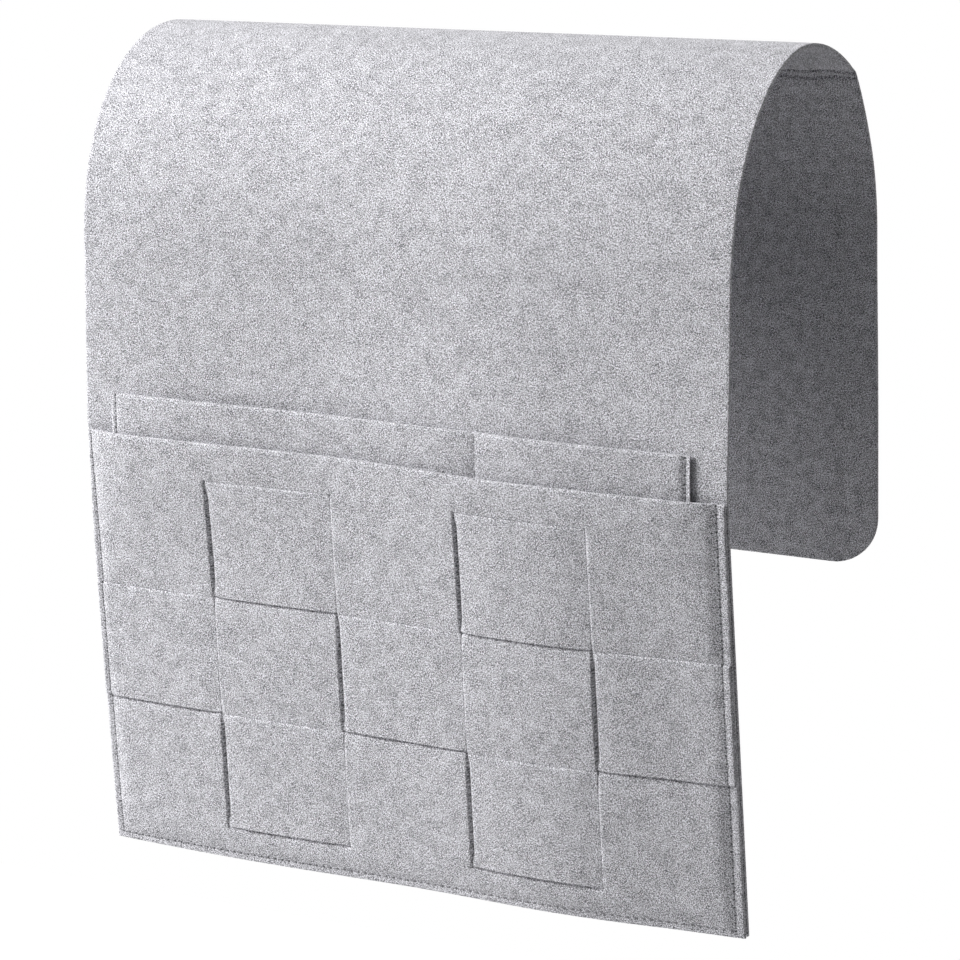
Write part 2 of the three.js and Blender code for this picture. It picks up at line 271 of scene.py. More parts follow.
@dataclass
class Slack:
    """Soft form of the front drop and of the pockets that hang on it."""

    sheet: SheetProfile
    felt: float = FELT
    layer_gap: float = 0.3 * MM
    pocket_height: float = 213.5 * MM
    inner_reveal: float = 19 * MM
    inner_hem_lift: float = 16 * MM
    inner_inset: float = 16 * MM
    inner_trim: float = 2 * MM
    mouth_sag: float = 1.2 * MM
    side_seam: float = 3.2 * MM
    hem_seam: float = 3.4 * MM
    inner_seam: float = 2.4 * MM
    divider_x: float = 44 * MM
    seam_rise: float = 9 * MM
    hem_rise: float = 9 * MM
    sway_edge: float = 60 * MM
    hollow: float = 3.0 * MM
    hollow_x: float = -40 * MM
    hollow_kept: float = 0.25
    lobe: float = 3.8 * MM
    lobe_x: float = 75 * MM
    lobe_width: float = 55 * MM
    lobe_start: float = 0.5
    swell: float = 6.5 * MM
    stand: float = 2.5 * MM
    ramp: tuple[float, float] = (25 * MM, 200 * MM)
    turn_back: float = 1.0 * MM
    turn_start: float = 60 * MM
    turn_reach: float = 80 * MM
    turn_end: float = 0.8
    settle: float = 65 * MM
    tuck_edge: float = 24 * MM
    puff: float = 2.0 * MM
    puff_edge: float = 58 * MM
    divider_slope: float = 26 * MM
    gape: float = 0.9 * MM
    close_depth: float = 170 * MM
    crease_along: float = 51.3 * MM
    shoulder: float = 4.2 * MM
    shoulder_above: float = 50 * MM
    shoulder_below: float = 38 * MM
    hang: float = 1.3 * MM
    hang_along: float = 140 * MM
    hang_width: float = 45 * MM

    @property
    def half_width(self) -> float:
        """Half the width of the sheet and of the front pocket."""
        return self.sheet.half_width

    @property
    def pitch(self) -> float:
        """Distance between two layers that lie on each other."""
        return self.felt + self.layer_gap

    @property
    def mouth(self) -> float:
        """Place of the front pocket's upper edge."""
        return self.sheet.hem - self.pocket_height

    @property
    def inner_mouth(self) -> float:
        """Place of the inner panel's upper edge."""
        return self.mouth - self.inner_reveal

    @property
    def inner_hem(self) -> float:
        """Place of the inner panel's lower edge."""
        return self.sheet.hem - self.inner_hem_lift

    @property
    def inner_edge_x(self) -> float:
        """Place of the inner panel's side edge."""
        return self.half_width - self.inner_inset

    @property
    def inner_seam_x(self) -> float:
        """Place of the inner panel's side seam."""
        return self.inner_edge_x - self.inner_seam

    @property
    def pocket_seam_x(self) -> float:
        """Place of the front pocket's side seam."""
        return self.half_width - self.side_seam

    @property
    def hem_seam_along(self) -> float:
        """Place of the front pocket's hem seam."""
        return self.sheet.hem - self.hem_seam

    @staticmethod
    def inside(x: Array, seam_x: float, reach: float) -> Array:
        """0 on a pair of side seams and beyond them, and 1 from a reach inside them."""
        return smoothstep(seam_x - np.abs(x), 0.0, reach)

    def sway(self, x: Array, along: Array) -> Array:
        """Stand-off of the pocket's front: hollow left of the middle, full to the right and below.

        Args:
            x: Places across the sheet.
            along: Places along it.

        Returns:
            The height at each place.
        """
        depth = along - self.mouth
        settled = smoothstep(depth, 0.0, self.settle)
        hollow = self.hollow * hump(x - self.hollow_x, self.lobe_width) * mix(1.0, self.hollow_kept, settled)
        lobe = self.lobe * hump(x - self.lobe_x, self.lobe_width) * mix(self.lobe_start, 1.0, settled)
        lowered = np.clip(depth / self.pocket_height, 0.0, 1.0)
        swell = self.swell * (1.0 - (x / self.half_width) ** 2) * lowered
        standing = self.stand * (1.0 - settled) * self.inside(x, self.pocket_seam_x, self.tuck_edge)
        return (lobe - hollow) * self.inside(x, self.pocket_seam_x, self.sway_edge) + swell + standing

    def fullness(self, x: Array, along: Array) -> Array:
        """How far the inner pocket stands open."""
        opened = 1.0 - smoothstep(along, self.mouth, self.mouth + self.close_depth)
        return self.puff * opened * self.inside(x, self.inner_seam_x, self.puff_edge)

    def bow(self, x: Array, along: Array) -> Array:
        """Drape of the main sheet, which gives way to the layers in front of it.

        Args:
            x: Places across the sheet.
            along: Places along it.

        Returns:
            The height at each place.
        """
        on_panel = self.inside(x, self.pocket_seam_x, self.tuck_edge)
        on_panel = on_panel * smoothstep(self.hem_seam_along - along, 0.0, self.tuck_edge)
        pressed = self.sway(x, along) - on_panel * (self.pitch + self.fullness(x, along))
        return pressed * smoothstep(along, *self.ramp)

    def squareness(self, along: Array) -> Array:
        """How far the arch stands out square at the crease behind it, and the flap hangs in below.

        Args:
            along: Places along the sheet.

        Returns:
            The height at each place.
        """
        off = along + self.crease_along
        reach = np.where(off > 0.0, self.shoulder_above, self.shoulder_below)
        square = self.shoulder * np.clip(1.0 - np.abs(off) / reach, 0.0, 1.0) ** 2
        return square - self.hang * hump(along + self.hang_along, self.hang_width)

    def turned_back(self, x: Array, along: Array) -> Array:
        """How far the right edge of the front drop turns back above the pockets.

        Args:
            x: Places across the sheet.
            along: Places along it.

        Returns:
            The depth at each place.
        """
        share = np.clip((x - self.turn_start) / (self.half_width - self.turn_start), 0.0, 1.0)
        ended = smoothstep(along, self.turn_end * self.inner_mouth, self.mouth)
        reach = smoothstep(along, 0.0, self.turn_reach) * (1.0 - ended)
        return self.turn_back * share ** 2 * reach

    def sheet_middle(self, x: Array, along: Array) -> Array:
        """Height of the middle of the main sheet."""
        return self.felt / 2 + self.bow(x, along) + self.squareness(along) - self.turned_back(x, along)

    def inner_lift(self, x: Array, along: Array) -> Array:
        """Height of the inner panel's back above the main sheet's front.

        Args:
            x: Places across the sheet.
            along: Places along it.

        Returns:
            The height at each place, which is one gap on the side seams and outside them.
        """
        off_divider = 1.0 - np.exp(-np.abs(x - self.divider_x) / self.divider_slope)
        off_seam = self.inside(x, self.inner_seam_x, self.puff_edge)
        leaning = self.gape * (1.0 - smoothstep(along, self.inner_mouth, self.mouth)) * off_seam
        return self.layer_gap + (self.fullness(x, along) + leaning) * off_divider

    def inner_middle(self, x: Array, along: Array) -> Array:
        """Height of the middle of the inner panel."""
        return 1.5 * self.felt + self.bow(x, along) + self.inner_lift(x, along)

    def free_of_seams(self, x: Array, along: Array) -> Array:
        """0 on the pocket's seams and 1 where its front stands free of them."""
        from_side = self.inside(x, self.pocket_seam_x, self.seam_rise)
        return from_side * smoothstep(self.hem_seam_along - along, 0.0, self.hem_rise)

    def weave_middle(self, x: Array, along: Array) -> Array:
        """Height of the middle of the woven front, between its columns and its strips."""
        return self.pitch + self.felt + self.layer_gap / 2 + self.sway(x, along)


@dataclass
class Weave:
    """Columns and strips of the woven pocket front."""

    slack: Slack
    columns: int = 5
    rows: int = 3
    sewn_row: int = 1
    row_height: float = 59.6 * MM
    top_band: float = 18 * MM
    slit_gap: float = 0.6 * MM
    relief: float = 0.3 * MM
    slit_groove: float = 2.7 * MM
    row_groove: float = 1.2 * MM
    groove_before: float = 0.05 * MM
    groove_reach: float = 1.1 * MM
    lip: float = 0.35 * MM
    lip_reach: float = 1.5 * MM
    hidden_depth: float = 1.4 * MM
    hidden_rise: float = 9 * MM
    dive: float = 14 * MM
    taper: float = 9 * MM
    slit_ease: float = 3 * MM
    strip_tuck: float = 16 * MM
    strip_short: float = 0.5 * MM
    seam_depth: float = 0.9 * MM
    seam_stack: float = 0.3 * MM

    @property
    def top(self) -> float:
        """Place of the first row line."""
        return self.slack.mouth + self.top_band

    @property
    def bottom(self) -> float:
        """Place of the last row line."""
        return self.top + self.rows * self.row_height

    @property
    def column_width(self) -> float:
        """Width of one column."""
        return 2 * self.slack.half_width / self.columns

    @property
    def slits(self) -> list[float]:
        """Places of the slits between the columns."""
        return [i * self.column_width - self.slack.half_width for i in range(1, self.columns)]

    @property
    def row_lines(self) -> list[float]:
        """Places of the lines between the strips."""
        return [self.top + i * self.row_height for i in range(self.rows + 1)]

    def in_slit(self, x: float, along: float) -> bool:
        """Whether a place lies in a slit."""
        in_rows = self.top < along < self.bottom
        return in_rows and any(abs(x - slit) < self.slit_gap / 2 for slit in self.slits)

    def column_over(self, x: Array, row: int) -> Array:
        """Whether the column at a place shows over the strip of a row."""
        column = np.clip(np.floor((x + self.slack.half_width) / self.column_width), 0, self.columns - 1)
        return (column + row) % 2 == 0

    def dived(self, value: Array, lines: Sequence[float], grooves: Array) -> Array:
        """Height of a piece over its neighbour: low on the lines where it goes under, high one dive away."""
        rise = 2.0 * smoothstep(nearest(value, lines) + self.slit_gap / 2, 0.0, self.dive) - 1.0
        return self.relief * rise - grooves

    def grooved(self, value: Array, lines: Sequence[float], out: Sequence[Array], groove: float) -> Array:
        """Depth of the grooves along the lines.

        Args:
            value: Places across the lines.
            lines: Where a piece goes under its neighbour.
            out: For each line, whether the piece comes out after it or goes in before it.
            groove: Depth of a groove that shows.

        Returns:
            The depth at each place.
        """
        grooves = []
        for line, comes_out in zip(lines, out):
            off = value - line
            shown = smoothstep(off, -self.slit_gap / 2, 0.0)
            covered = smoothstep(off, self.slit_gap / 2, 1.5 * self.slit_gap)
            depth = mix(self.groove_before, groove, np.where(comes_out, shown, covered))
            grooves.append(depth * hump(off, self.groove_reach))
        return np.max(grooves, axis=0)

    def sunk(self, value: Array, lines: Sequence[float]) -> Array:
        """How far a piece lies deeper where its neighbour hides it, away from where it shows again."""
        return self.hidden_depth * smoothstep(nearest(value, lines), 0.0, self.hidden_rise)

    def column_middle(self, x: Array, along: Array) -> Array:
        """Height of the middle of the slit panel.

        Args:
            x: Places across the sheet.
            along: Places along it.

        Returns:
            The height at each place.
        """
        lines = self.row_lines
        into = np.minimum(along - lines[0], lines[-1] - along)
        out = [self.column_over(x, row) for row in range(1, self.rows)]
        grooves = self.grooved(along, lines[1:-1], out, self.row_groove)
        over = self.dived(along, lines[1:-1], grooves) * smoothstep(into, -self.dive / 2, self.dive)
        grooves = self.grooved(along, lines, [False, *out, True], self.row_groove)
        under = -(self.relief + grooves) * smoothstep(into, -self.dive, self.slit_gap / 2)
        row = np.clip(np.floor((along - self.top) / self.row_height), 0, self.rows - 1)
        shows = self.column_over(x, row)
        from_slit = nearest(x, self.slits)
        from_slit = np.where(self.column_over(x, 0), from_slit, -from_slit)
        joined = mix(under, over, smoothstep(from_slit, -self.slit_ease, self.slit_ease))
        in_rows = smoothstep(into, 0.0, self.taper)
        crossing = mix(joined, np.where(shows, over, under), in_rows)
        hidden = np.where(shows, 0.0, self.sunk(along, lines)) * in_rows
        free = self.slack.free_of_seams(x, along)
        return self.slack.weave_middle(x, along) + mix(-self.seam_depth, crossing, free) - hidden * free

    def strip_middle(self, row: int) -> Height:
        """Height of the middle of one strip.

        Args:
            row: Which strip, from the top.

        Returns:
            The height as a function of the place.
        """
        out = [not self.column_over(slit + self.column_width / 2, row) for slit in self.slits]

        def height(x: Array, along: Array) -> Array:
            """Height of the strip.

            Args:
                x: Places across the sheet.
                along: Places along it.

            Returns:
                The height at each place.
            """
            under = self.column_over(x, row)
            grooves = self.grooved(x, self.slits, out, self.slit_groove)
            to_edge = np.clip(1.0 - (self.row_lines[row + 1] - along) / self.lip_reach, 0.0, 1.0)
            over = self.dived(x, self.slits, grooves) + self.lip * to_edge ** 2
            crossing = np.where(under, -self.relief - grooves, over)
            free = self.slack.free_of_seams(x, along)
            level = mix(np.where(under, -self.seam_depth, self.seam_stack), crossing, free)
            hidden = np.where(under, self.sunk(x, self.slits), 0.0)
            return self.slack.weave_middle(x, along) + level - hidden * free

        return height


@dataclass(frozen=True)
class StitchLine:
    """A straight run of stitches, down the sheet or across it."""

    down: bool
    at: float
    start: float
    end: float
    edge_side: float
    valley: float
    regain: float

    def ends(self) -> tuple[tuple[float, float], tuple[float, float]]:
        """First and last place of the run.

        Returns:
            Both places, as (x, along).
        """
        if self.down:
            return (self.at, self.start), (self.at, self.end)
        return (self.start, self.at), (self.end, self.at)

    def distance(self, x: Array, along: Array) -> Array:
        """Distance of places from the run.

        Args:
            x: Places across the sheet.
            along: Places along it.

        Returns:
            The distance of each place.
        """
        across, run = (x, along) if self.down else (along, x)
        low, high = sorted((self.start, self.end))
        beyond = np.maximum(np.maximum(low - run, run - high), 0.0)
        return np.hypot(across - self.at, beyond)

    def pressed(self, x: Array, along: Array, width: float) -> Array:
        """Depth of the valley that the run presses into the felt.

        Args:
            x: Places across the sheet.
            along: Places along it.
            width: Half the width of the valley.

        Returns:
            The depth at each place, of which the felt between the run and its free edge regains a share.
        """
        share = hump(self.distance(x, along), width)
        outside = ((x if self.down else along) - self.at) * self.edge_side > 0.0
        return self.valley * np.where(outside, mix(1.0 - self.regain, 1.0, share), share)


class NodePad:
    """Short calls for the node tree of a material or of the surroundings."""

    def __init__(self, owner: bpy.types.Material | bpy.types.World) -> None:
        """Start with an empty tree.

        Args:
            owner: What the nodes belong to.
        """
        owner.use_nodes = True
        self.owner = owner
        self.tree = owner.node_tree
        self.tree.nodes.clear()

    def add(self, kind: str, feeds: Feeds | None = None, **settings: object) -> bpy.types.Node:
        """Add a node.

        Args:
            kind: Node type without its prefix.
            feeds: What each socket is linked to, or the constant that it gets.
            settings: Properties to set on the node.

        Returns:
            The node.
        """
        node = self.tree.nodes.new("ShaderNode" + kind)
        for key, value in settings.items():
            setattr(node, key, value)
        for socket, value in (feeds or {}).items():
            if isinstance(value, Socket):
                self.tree.links.new(value, node.inputs[socket])
            else:
                node.inputs[socket].default_value = value
        return node

    def math(self, operation: str, *values: Socket | float) -> Socket:
        """Result of a math node."""
        return self.add("Math", dict(enumerate(values)), operation=operation).outputs[0]

    def scaled(self, vector: Socket, scale: Sequence[float], turn: float) -> Socket:
        """Coordinates turned in the sheet's plane and then stretched."""
        feeds = {"Vector": vector, "Rotation": (0.0, 0.0, turn), "Scale": tuple(1.0 / s for s in scale)}
        return self.add("Mapping", feeds, vector_type="TEXTURE").outputs[0]

    def noise(self, vector: Socket, scale: float, detail: float) -> Socket:
        """Noise around 0.5."""
        return self.add("TexNoise", {"Vector": vector, "Scale": scale, "Detail": detail}).outputs["Fac"]

    def window(self, value: Socket, low: float, high: float, to_low: float = 0.0,
               to_high: float = 1.0) -> Socket:
        """Smooth step of a value between two limits."""
        feeds = dict(enumerate((value, low, high, to_low, to_high)))
        return self.add("MapRange", feeds, interpolation_type="SMOOTHSTEP").outputs[0]

    def blend(self, share: Socket, a: Socket | Colour, b: Socket | Colour) -> Socket:
        """Colour between a and b."""
        return self.add("Mix", {"Factor": share, MIX_A: a, MIX_B: b}, data_type="RGBA").outputs[MIX_RESULT]

    def surface(self, sockets: Feeds, bump: Feeds) -> bpy.types.Material:
        """Finish a material with a bumped surface.

        Args:
            sockets: What the shader's sockets get.
            bump: What the sockets of its bump get.

        Returns:
            The material.
        """
        normal = self.add("Bump", bump).outputs[0]
        shader = self.add("BsdfPrincipled", {**sockets, "Normal": normal})
        self.add("OutputMaterial", {0: shader.outputs[0]})
        return self.owner


@dataclass(frozen=True)
class FeltFinish:
    """Heathered grey needle felt, with painted shade in its needle holes along the seams. A gain is for the
    inner and for the outer face.
    """

    dark_fibre: Colour = (0.090, 0.090, 0.097, 1.0)
    mid_fibre: Colour = (0.480, 0.476, 0.510, 1.0)
    pale_fibre: Colour = (0.900, 0.893, 0.942, 1.0)
    dark_to_mid: tuple[float, float] = (0.34, 0.50)
    mid_to_pale: tuple[float, float] = (0.50, 0.68)
    # Painted shade: near-black colour for the inside of the needle holes, where shade falls in the felt.
    painted_hole_shade: Colour = (0.060, 0.060, 0.065, 1.0)
    hole_shade_reach: tuple[float, float] = (0.35 * MM, 0.75 * MM)
    speck_scale: float = 2500.0
    fibre_scale: float = 1200.0
    fibre_stretch: float = 3.0
    fibre_share: float = 0.75
    fibre_turns: tuple[float, ...] = (20.0, 75.0, 140.0)
    fibre_detail: float = 1.0
    fibre_gain: tuple[float, float] = (16.0, 6.0)
    cloud_scale: float = 190.0
    cloud_detail: float = 2.0
    cloud_gain: tuple[float, float] = (1.2, 0.34)
    bump_strength: float = 0.6
    bump_distance: float = 0.35 * MM
    roughness: float = 0.95
    specular: float = 0.15
    sheen: float = 0.15
    sheen_roughness: float = 0.5

    def _fibres(self, pad: NodePad, place: Socket) -> Socket:
        """Specks mixed with noises that are drawn out along several directions.

        Args:
            pad: The felt's nodes.
            place: Flat place on the piece.

        Returns:
            The pattern, around 0.5.
        """
        specks = pad.noise(place, self.speck_scale, self.fibre_detail)
        total = pad.math("MULTIPLY", specks, 1.0 - self.fibre_share)
        for turn in self.fibre_turns:
            drawn = pad.scaled(place, (1.0 / self.fibre_stretch, 1.0, 1.0), math.radians(turn))
            strands = pad.noise(drawn, self.fibre_scale * self.fibre_stretch, self.fibre_detail)
            strands = pad.math("MULTIPLY", strands, self.fibre_share / len(self.fibre_turns))
            total = pad.math("ADD", total, strands)
        return total

    def _painted_hole_shade(self, pad: NodePad, place: Socket, lines: Sequence[StitchLine]) -> Socket:
        """Mask of painted shade in the needle holes along stitch lines.

        Args:
            pad: The felt's nodes.
            place: Flat place on the piece.
            lines: The stitch lines, one or more.

        Returns:
            1 in a hole and 0 away from it.
        """
        x, y, _ = pad.add("SeparateXYZ", {0: place}).outputs
        along = pad.math("MULTIPLY", y, -1.0)
        mask = None
        for line in lines:
            across, run = (x, along) if line.down else (along, x)
            off = pad.math("ABSOLUTE", pad.math("SUBTRACT", across, line.at))
            count = pad.math("DIVIDE", pad.math("SUBTRACT", run, line.start), STITCH_PITCH)
            phase = pad.math("MULTIPLY", pad.math("PINGPONG", count, 0.5), STITCH_PITCH)
            squares = [pad.math("POWER", part, 2.0) for part in (off, phase)]
            spot = pad.window(pad.math("SQRT", pad.math("ADD", *squares)), *self.hole_shade_reach, 1.0, 0.0)
            low, high = sorted((line.start, line.end))
            after_start = pad.math("GREATER_THAN", run, low - self.hole_shade_reach[1])
            before_end = pad.math("LESS_THAN", run, high + self.hole_shade_reach[1])
            spot = pad.math("MULTIPLY", spot, pad.math("MULTIPLY", after_start, before_end))
            mask = spot if mask is None else pad.math("MAXIMUM", mask, spot)
        return mask

    def material(self, name: str, lines: Sequence[StitchLine] = ()) -> bpy.types.Material:
        """Make the felt.

        Args:
            name: Name of the material.
            lines: Stitch lines whose needle holes get painted shade in this felt.

        Returns:
            The material.
        """
        pad = NodePad(bpy.data.materials.new(name))
        place = pad.add("Attribute", attribute_name=PLACE_ATTRIBUTE).outputs["Vector"]
        level = pad.add("SeparateXYZ", {0: place}).outputs[2]
        fibres = self._fibres(pad, place)
        clouds = pad.noise(place, self.cloud_scale, self.cloud_detail)
        parts = []
        for pattern, gains in ((fibres, self.fibre_gain), (clouds, self.cloud_gain)):
            gain = pad.window(level, 0.0, FELT, *gains)
            parts.append(pad.math("MULTIPLY", pad.math("SUBTRACT", pattern, 0.5), gain))
        shade = pad.math("ADD", pad.math("ADD", *parts), 0.5)
        dark = pad.blend(pad.window(shade, *self.dark_to_mid), self.dark_fibre, self.mid_fibre)
        colour = pad.blend(pad.window(shade, *self.mid_to_pale), dark, self.pale_fibre)
        # Painted shade: the needle holes are blended to a near-black colour.
        if lines:
            colour = pad.blend(self._painted_hole_shade(pad, place, lines), colour, self.painted_hole_shade)
        sockets = {"Base Color": colour, "Roughness": self.roughness, "Specular IOR Level": self.specular,
                   "Sheen Weight": self.sheen, "Sheen Roughness": self.sheen_roughness}
        bump = {"Strength": self.bump_strength, "Distance": self.bump_distance, "Height": fibres}
        return pad.surface(sockets, bump)


@dataclass(frozen=True)
class ThreadFinish:
    """Spun grey sewing thread, coloured darker than the felt; that extra darkness is painted shade of the
    pits the stitches sink into.
    """

    # Both tones are darker than the felt: the thread's twist is real, its darkness is painted shade of the
    # stitch pits.
    pale: Colour = (0.30, 0.30, 0.32, 1.0)
    dark: Colour = (0.15, 0.15, 0.16, 1.0)
    dark_to_pale: tuple[float, float] = (0.35, 0.65)
    ply: float = 0.35 * MM
    ply_detail: float = 1.0
    roughness: float = 0.7
    bump_strength: float = 0.5
    bump_distance: float = 0.1 * MM

    def material(self, name: str) -> bpy.types.Material:
        """Make the thread.

        Args:
            name: Name of the material.

        Returns:
            The material.
        """
        pad = NodePad(bpy.data.materials.new(name))
        twist = pad.noise(pad.add("TexCoord").outputs["Object"], 1.0 / self.ply, self.ply_detail)
        colour = pad.blend(pad.window(twist, *self.dark_to_pale), self.dark, self.pale)
        bump = {"Strength": self.bump_strength, "Distance": self.bump_distance, "Height": twist}
        return pad.surface({"Base Color": colour, "Roughness": self.roughness}, bump)


def to_mesh(bm: bmesh.types.BMesh, name: str) -> bpy.types.Mesh:
    """Keep a modelled shape as a mesh.

    Args:
        bm: The shape, which is freed.
        name: Name of the mesh.

    Returns:
        The mesh.
    """
    mesh = bpy.data.meshes.new(name)
    bm.to_mesh(mesh)
    bm.free()
    return mesh


def show(name: str, mesh: bpy.types.Mesh, material: bpy.types.Material) -> bpy.types.Object:
    """Put a finished mesh in the scene.

    Args:
        name: Name of the piece.
        mesh: Its mesh, in the row frame.
        material: Its finish.

    Returns:
        The piece.
    """
    mesh.materials.append(material)
    mesh.shade_smooth()
    piece = bpy.data.objects.new(name, mesh)
    bpy.context.scene.collection.objects.link(piece)
    LOG.info("%s: %d faces", name, len(mesh.polygons))
    return piece


def fasten(piece: bpy.types.Object, node: str, slot: Slot) -> None:
    """Let a piece ride on the saddle in the place of a node.

    Args:
        piece: The piece.
        node: The node that it stands for.
        slot: Not used.
    """
    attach(piece, SADDLE_BODY)
    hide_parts(node)


@dataclass
class FeltBlank:
    """A flat piece of felt, cut on a grid, given its thickness and then bent on to the sheet."""

    name: str
    xs: Array
    alongs: Array
    felt: float
    edge_round: float = 0.45 * MM
    edge_angle: float = math.radians(45)
    rim_reach: float = 1.4 * MM
    rim_pinch: float = 0.42
    rim_crisp: float = 0.08
    rim: KDTree | None = field(default=None, init=False)
    rim_pinches: list[float] = field(default_factory=list, init=False)

    def cut(self, outline: Callable[[float, float], tuple[float, float]] | None = None,
            leave_out: Callable[[float, float], bool] | None = None) -> bpy.types.Mesh:
        """Cut the flat blank, as (x, -along, height).

        Args:
            outline: Gives the x and along of a grid place on a blank that is no plain rectangle.
            leave_out: Tells the cells, by their middle, that are cut away.

        Returns:
            The flat mesh, with its inner face at height 0.
        """
        bm = bmesh.new()
        across, down = len(self.xs) - 1, len(self.alongs) - 1
        bmesh.ops.create_grid(bm, x_segments=across, y_segments=down, size=0.5)
        for vert in bm.verts:
            x = self.xs[round((vert.co.x + 0.5) * across)]
            along = self.alongs[round((vert.co.y + 0.5) * down)]
            x, along = outline(x, along) if outline else (x, along)
            vert.co = (x, -along, 0.0)
        if leave_out:
            middles = [(face, face.calc_center_median()) for face in bm.faces]
            gone = [face for face, middle in middles if leave_out(middle.x, -middle.y)]
            bmesh.ops.delete(bm, geom=gone, context="FACES")
        self._mark_rim(bm)
        bmesh.ops.solidify(bm, geom=bm.faces[:], thickness=self.felt)
        bmesh.ops.recalc_face_normals(bm, faces=bm.faces[:])
        low = min(vert.co.z for vert in bm.verts)
        bmesh.ops.translate(bm, verts=bm.verts[:], vec=(0.0, 0.0, -low))
        edges = [e for e in bm.edges if abs(e.verts[0].co.z - e.verts[1].co.z) < self.felt / 2
                 and e.calc_face_angle(0.0) > self.edge_angle]
        bmesh.ops.bevel(bm, geom=edges, offset=self.edge_round, offset_type="OFFSET", segments=2, profile=0.5,
                        affect="EDGES", material=-1, clamp_overlap=True)
        return to_mesh(bm, self.name)

    def _mark_rim(self, bm: bmesh.types.BMesh) -> None:
        """Keep the cut rim of a blank, which is pinched above and to the left and crisp elsewhere.

        Args:
            bm: The blank before it gets its thickness.
        """
        outer = [vert for vert in bm.verts if vert.is_boundary]
        self.rim = KDTree(len(outer))
        for i, vert in enumerate(outer):
            inward = sum((face.calc_center_median() - vert.co for face in vert.link_faces), Vector())
            soft = min(1.0, max(0.0, (inward.x - inward.y) / inward.length))
            self.rim.insert(vert.co, i)
            self.rim_pinches.append(mix(self.rim_crisp, self.rim_pinch, soft))
        self.rim.balance()

    def _thinned(self, flat: Array) -> Array:
        """Share of the thickness that the felt keeps, which is less along its cut rim.

        Args:
            flat: Places on the flat blank, one row each.

        Returns:
            The share at each place.
        """
        found = [self.rim.find((x, y, 0.0)) for x, y, _ in flat]
        off = np.array([distance for _, _, distance in found])
        pinch = np.array([self.rim_pinches[i] for _, i, _ in found])
        return 1.0 - pinch * np.clip(1.0 - off / self.rim_reach, 0.0, 1.0) ** 2

    def bend(self, mesh: bpy.types.Mesh, sheet: SheetProfile, middle: Height,
             press: Press | None = None) -> bpy.types.Mesh:
        """Bend a flat blank on to the sheet, and keep each flat place as an attribute.

        Args:
            mesh: The flat blank.
            sheet: The profile to bend it on to.
            middle: Height of the piece's middle.
            press: What seams and creases add to the height, given x, along and the share of the thickness.

        Returns:
            The same mesh, bent.
        """
        flat = np.empty(len(mesh.vertices) * 3)
        mesh.vertices.foreach_get("co", flat)
        attribute = mesh.attributes.new(PLACE_ATTRIBUTE, "FLOAT_VECTOR", "POINT")
        attribute.data.foreach_set("vector", flat)
        x, along, level = flat.reshape(-1, 3).T * np.array([[1.0], [-1.0], [1.0]])
        height = middle(x, along) + (level - self.felt / 2) * self._thinned(flat.reshape(-1, 3))
        if press:
            height = height + press(x, along, level / self.felt)
        mesh.vertices.foreach_set("co", sheet.place(x, along, height).ravel())
        mesh.update()
        return mesh


@dataclass
class Seams:
    """Stitch lines of the caddy, and the valleys that they press into the felt."""

    slack: Slack
    start_gap: float = 1 * MM
    left_shift: float = -0.4 * MM
    right_shift: float = 1.3 * MM
    side_valley: float = 0.9 * MM
    hem_valley: float = 0.6 * MM
    pocket_regain: float = 0.4
    inner_valley: float = 0.9 * MM
    inner_regain: float = 0.35
    divider_valley: float = 0.4 * MM
    valley_width: float = 1.6 * MM

    @staticmethod
    def _three_sides(sides: tuple[float, float], top: float, low: float, valleys: tuple[float, float],
                     regain: float) -> list[StitchLine]:
        """Lines down the left side of a panel, across its hem and down its right side.

        Args:
            sides: Places of the left and the right seam.
            top: Where the side seams start.
            low: Place of the hem seam.
            valleys: Depth of the side valleys and of the hem's.
            regain: Share of the depth that the felt outside the seams regains.

        Returns:
            The three lines.
        """
        (left, right), (side_valley, hem_valley) = sides, valleys
        return [StitchLine(True, left, top, low, -1.0, side_valley, regain),
                StitchLine(False, low, left, right, 1.0, hem_valley, regain),
                StitchLine(True, right, top, low, 1.0, side_valley, regain)]

    def pocket(self) -> list[StitchLine]:
        """Lines of the front pocket.

        Returns:
            The three lines.
        """
        s = self.slack
        sides = (-s.pocket_seam_x - self.left_shift, s.pocket_seam_x - self.right_shift)
        top = s.mouth + s.mouth_sag + self.start_gap
        valleys = (self.side_valley, self.hem_valley)
        return self._three_sides(sides, top, s.hem_seam_along, valleys, self.pocket_regain)

    def inner(self) -> list[StitchLine]:
        """Lines of the inner panel.

        Returns:
            The three lines.
        """
        s = self.slack
        sides = (-s.inner_seam_x, s.inner_seam_x - s.inner_trim)
        top, low = s.inner_mouth + self.start_gap, s.inner_hem - s.inner_seam
        return self._three_sides(sides, top, low, (self.inner_valley, self.inner_valley), self.inner_regain)

    def divider(self) -> list[StitchLine]:
        """Line that parts the inner pocket in two.

        Returns:
            The one line.
        """
        s = self.slack
        top, low = s.inner_mouth + self.start_gap, s.inner_hem - s.inner_seam
        return [StitchLine(True, s.divider_x, top, low, 0.0, self.divider_valley, 1.0)]

    def all_lines(self) -> list[StitchLine]:
        """Every stitch line of the caddy."""
        return [*self.pocket(), *self.inner(), *self.divider()]

    def press(self, lines: Sequence[StitchLine], face: Face) -> Press:
        """Valley along stitch lines on one face of a piece.

        Args:
            lines: The stitch lines.
            face: The face that is pressed in.

        Returns:
            What the valley adds to the height.
        """

        def height(x: Array, along: Array, share: Array) -> Array:
            """Height that the valley adds at a place."""
            depth = np.max([line.pressed(x, along, self.valley_width) for line in lines], axis=0)
            return -depth * share if face is Face.OUTER else depth * (1.0 - share)

        return height


